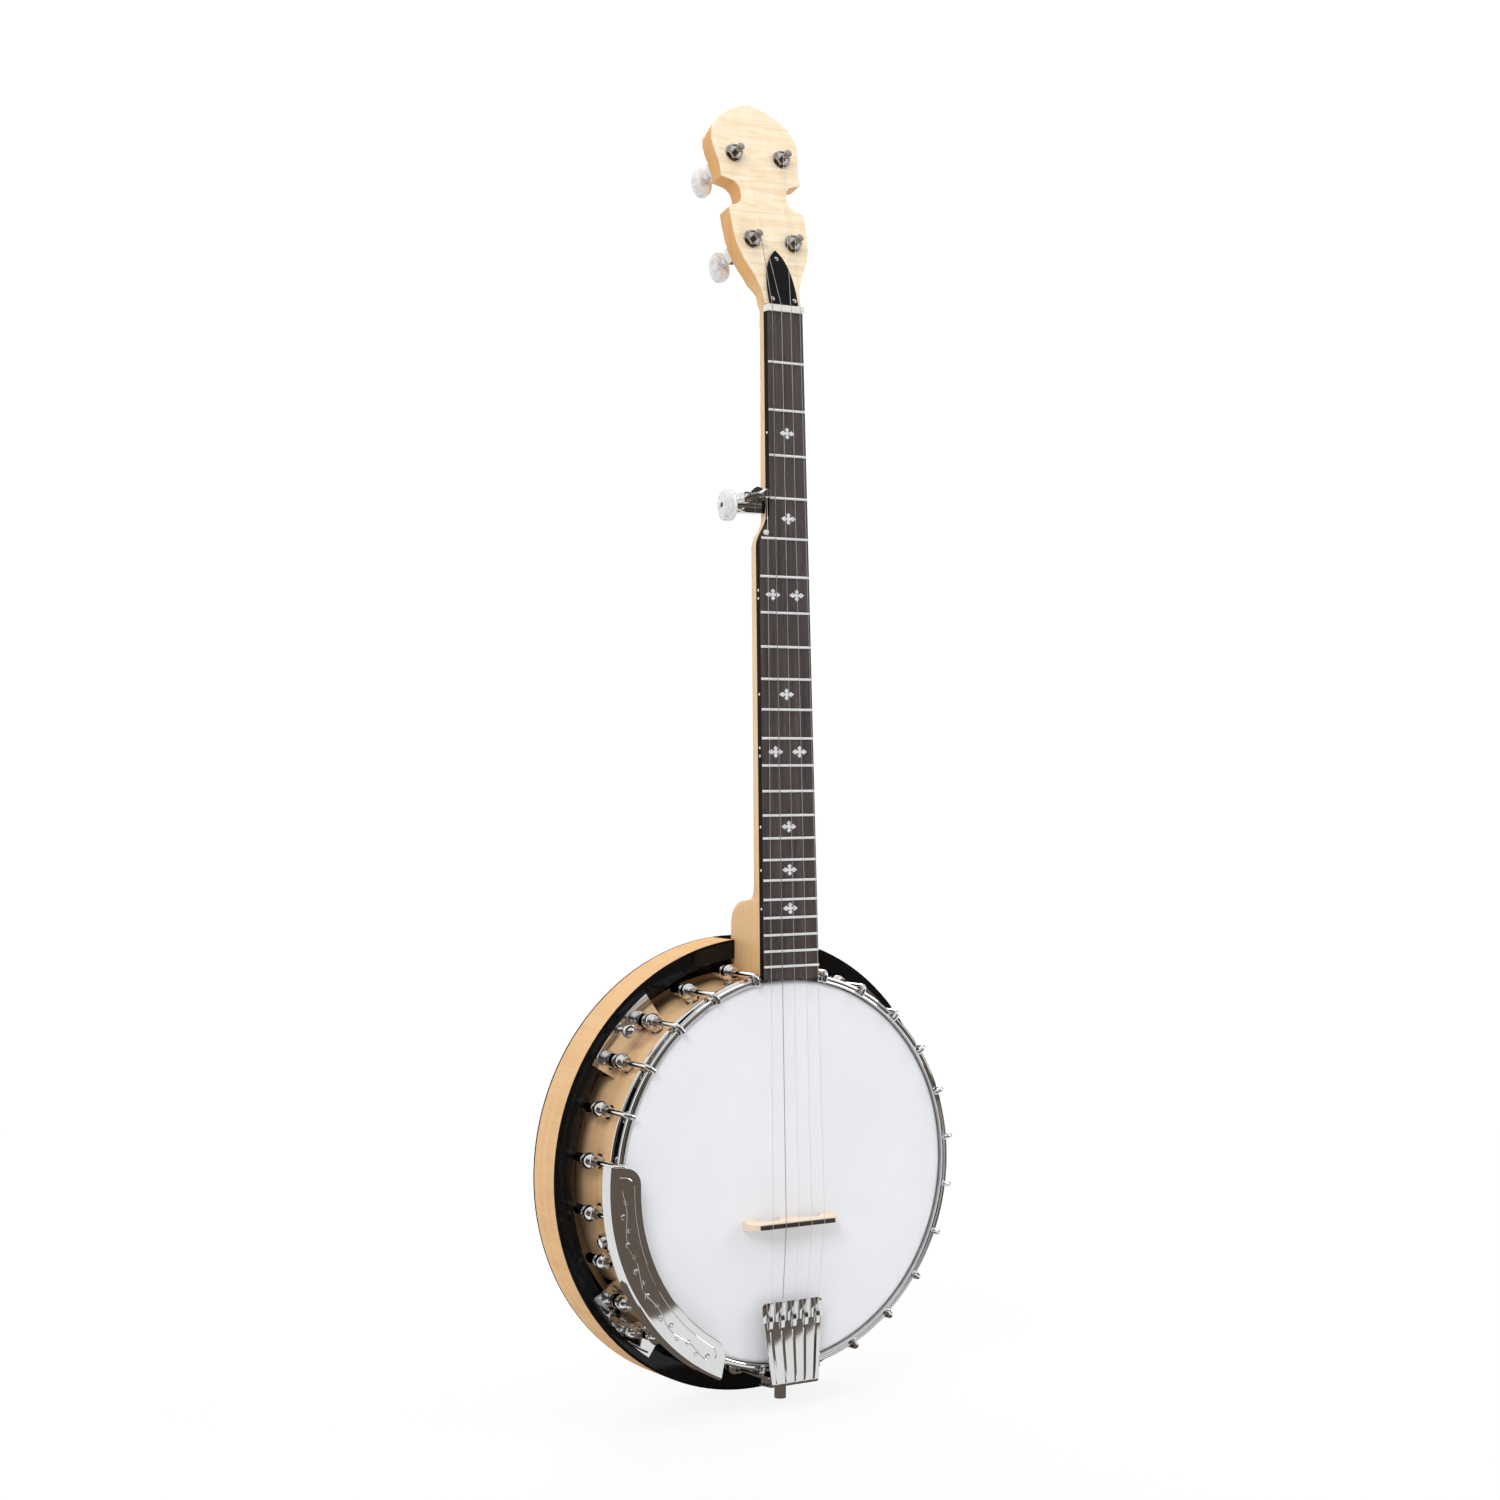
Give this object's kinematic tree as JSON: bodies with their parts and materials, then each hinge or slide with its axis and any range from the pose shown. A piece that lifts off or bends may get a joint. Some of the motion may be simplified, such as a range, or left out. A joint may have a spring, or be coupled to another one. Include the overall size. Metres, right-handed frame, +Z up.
{
  "type": "banjo",
  "caption": "Resonator banjo with geared pegs that turn their posts, thumbscrews that turn, and a resonator that slides off the back of the pot.",
  "frame": {"origin": "the hanger seat under the peghead: on the centre plane of the pot, level with the nut, in the middle of the neck's thickness there", "axes": "+Z up along the instrument towards the peghead, +Y from the head towards the resonator's back, +X to the treble side as seen from behind the origin looking along +Y"},
  "size_m": [0.3358, 0.1228, 0.9602],
  "materials": {
    "neck_maple": "straight-grained maple under clear satin lacquer",
    "overlay_maple": "flamed maple under clear gloss lacquer",
    "board_wood": "dark oiled rosewood",
    "rim_maple": "laminated maple under clear satin lacquer",
    "resonator_maple": "figured maple under clear gloss lacquer",
    "bridge_maple": "bare maple",
    "ebony": "polished ebony",
    "pearloid": "cream pearloid",
    "bone": "polished bone-coloured plastic",
    "black_plastic": "polished black plastic",
    "head_film": "frosted white coated film",
    "chrome": "polished chrome plate",
    "steel": "plain steel",
    "string_steel": "drawn steel wire",
    "brass": "turned brass"
  },
  "bodies": {
    "instrument": {"neck": "neck_maple", "peghead_overlay": "overlay_maple", "fretboard": "board_wood", "frets": "steel", "position_inlays": "pearloid", "side_dots": "pearloid", "string_nut": "bone", "fifth_string_pip": "bone", "truss_rod_cover": "black_plastic", "truss_cover_screws": "chrome", "truss_rod": "steel", "neck_lag_bolts": "steel", "coordinator_rods": "steel", "coordinator_nuts": "chrome", "tuner_housings": "chrome", "tuner_bushings": "chrome", "fifth_peg_housing": "chrome", "rim": "rim_maple", "tone_ring": "brass", "head": "head_film", "flesh_hoop": "steel", "tension_hoop": "chrome", "bracket_hooks": "chrome", "hook_nuts": "chrome", "bracket_shoes": "chrome", "shoe_bolts": "steel", "resonator_brackets": "chrome", "bracket_screws": "steel", "armrest": "chrome", "armrest_clamps": "chrome", "tailpiece": "chrome", "tailpiece_anchor": "chrome", "bridge": "bridge_maple", "bridge_saddle": "ebony", "plain_strings": "string_steel", "wound_string": "string_steel"},
    "post_1": {"tuner_post_1": "chrome"},
    "post_2": {"tuner_post_2": "chrome"},
    "post_3": {"tuner_post_3": "chrome"},
    "post_4": {"tuner_post_4": "chrome"},
    "peg_1": {"tuner_shaft_1": "chrome", "tuner_button_1": "pearloid"},
    "peg_2": {"tuner_shaft_2": "chrome", "tuner_button_2": "pearloid"},
    "peg_3": {"tuner_shaft_3": "chrome", "tuner_button_3": "pearloid"},
    "peg_4": {"tuner_shaft_4": "chrome", "tuner_button_4": "pearloid"},
    "fifth_post": {"fifth_peg_post": "chrome"},
    "fifth_peg": {"fifth_peg_shaft": "chrome", "fifth_peg_button": "pearloid"},
    "screw_1": {"thumbscrew_1": "chrome"},
    "screw_2": {"thumbscrew_2": "chrome"},
    "screw_3": {"thumbscrew_3": "chrome"},
    "screw_4": {"thumbscrew_4": "chrome"},
    "resonator": {"resonator_wall": "resonator_maple", "resonator_back": "resonator_maple", "resonator_bindings": "black_plastic", "resonator_inserts": "brass"}
  },
  "joints": [
    {"name": "peg_turn_1", "type": "hinge", "parent": "instrument", "child": "peg_1", "pos_m": [-0.014, 0.0069, 0.05444], "axis": [0, 0.955, -0.2965], "continuous": true},
    {"name": "post_turn_1", "type": "hinge", "parent": "instrument", "child": "post_1", "pos_m": [-0.014, 0.0069, 0.05444], "axis": [0, 0.955, -0.2965], "continuous": true},
    {"name": "peg_turn_2", "type": "hinge", "parent": "instrument", "child": "peg_2", "pos_m": [-0.017, 0.02766, 0.12129], "axis": [0, 0.955, -0.2965], "continuous": true},
    {"name": "post_turn_2", "type": "hinge", "parent": "instrument", "child": "post_2", "pos_m": [-0.017, 0.02766, 0.12129], "axis": [0, 0.955, -0.2965], "continuous": true},
    {"name": "peg_turn_3", "type": "hinge", "parent": "instrument", "child": "peg_3", "pos_m": [0.025, 0.02766, 0.12129], "axis": [0, 0.955, -0.2965], "continuous": true},
    {"name": "post_turn_3", "type": "hinge", "parent": "instrument", "child": "post_3", "pos_m": [0.025, 0.02766, 0.12129], "axis": [0, 0.955, -0.2965], "continuous": true},
    {"name": "peg_turn_4", "type": "hinge", "parent": "instrument", "child": "peg_4", "pos_m": [0.022, 0.0069, 0.05444], "axis": [0, 0.955, -0.2965], "continuous": true},
    {"name": "post_turn_4", "type": "hinge", "parent": "instrument", "child": "post_4", "pos_m": [0.022, 0.0069, 0.05444], "axis": [0, 0.955, -0.2965], "continuous": true},
    {"name": "fifth_peg_turn", "type": "hinge", "parent": "instrument", "child": "fifth_peg", "pos_m": [0, -0.00563, -0.14348], "axis": [-1, 0, 0], "continuous": true},
    {"name": "fifth_post_turn", "type": "hinge", "parent": "instrument", "child": "fifth_post", "pos_m": [-0.0194, -0.01532, -0.1355], "axis": [0, 0.9992, -0.0393], "continuous": true},
    {"name": "thumbscrew_turn_1", "type": "hinge", "parent": "instrument", "child": "screw_1", "pos_m": [0.11668, 0.01, -0.524], "axis": [0, 1, 0], "continuous": true},
    {"name": "thumbscrew_turn_2", "type": "hinge", "parent": "instrument", "child": "screw_2", "pos_m": [0.11368, 0.01, -0.73881], "axis": [0, 1, 0], "continuous": true},
    {"name": "thumbscrew_turn_3", "type": "hinge", "parent": "instrument", "child": "screw_3", "pos_m": [-0.11368, 0.01, -0.73881], "axis": [0, 1, 0], "continuous": true},
    {"name": "thumbscrew_turn_4", "type": "hinge", "parent": "instrument", "child": "screw_4", "pos_m": [-0.11668, 0.01, -0.524], "axis": [0, 1, 0], "continuous": true},
    {"name": "resonator_slide", "type": "slide", "parent": "instrument", "child": "resonator", "axis": [0, 1, 0], "range_m": [0, 0.08]}
  ],
  "couplings": [
    {"joint": "post_turn_1", "follows": "peg_turn_1", "ratio": 0.25},
    {"joint": "post_turn_2", "follows": "peg_turn_2", "ratio": 0.25},
    {"joint": "post_turn_3", "follows": "peg_turn_3", "ratio": 0.25},
    {"joint": "post_turn_4", "follows": "peg_turn_4", "ratio": 0.25},
    {"joint": "fifth_post_turn", "follows": "fifth_peg_turn", "ratio": 0.1}
  ]
}
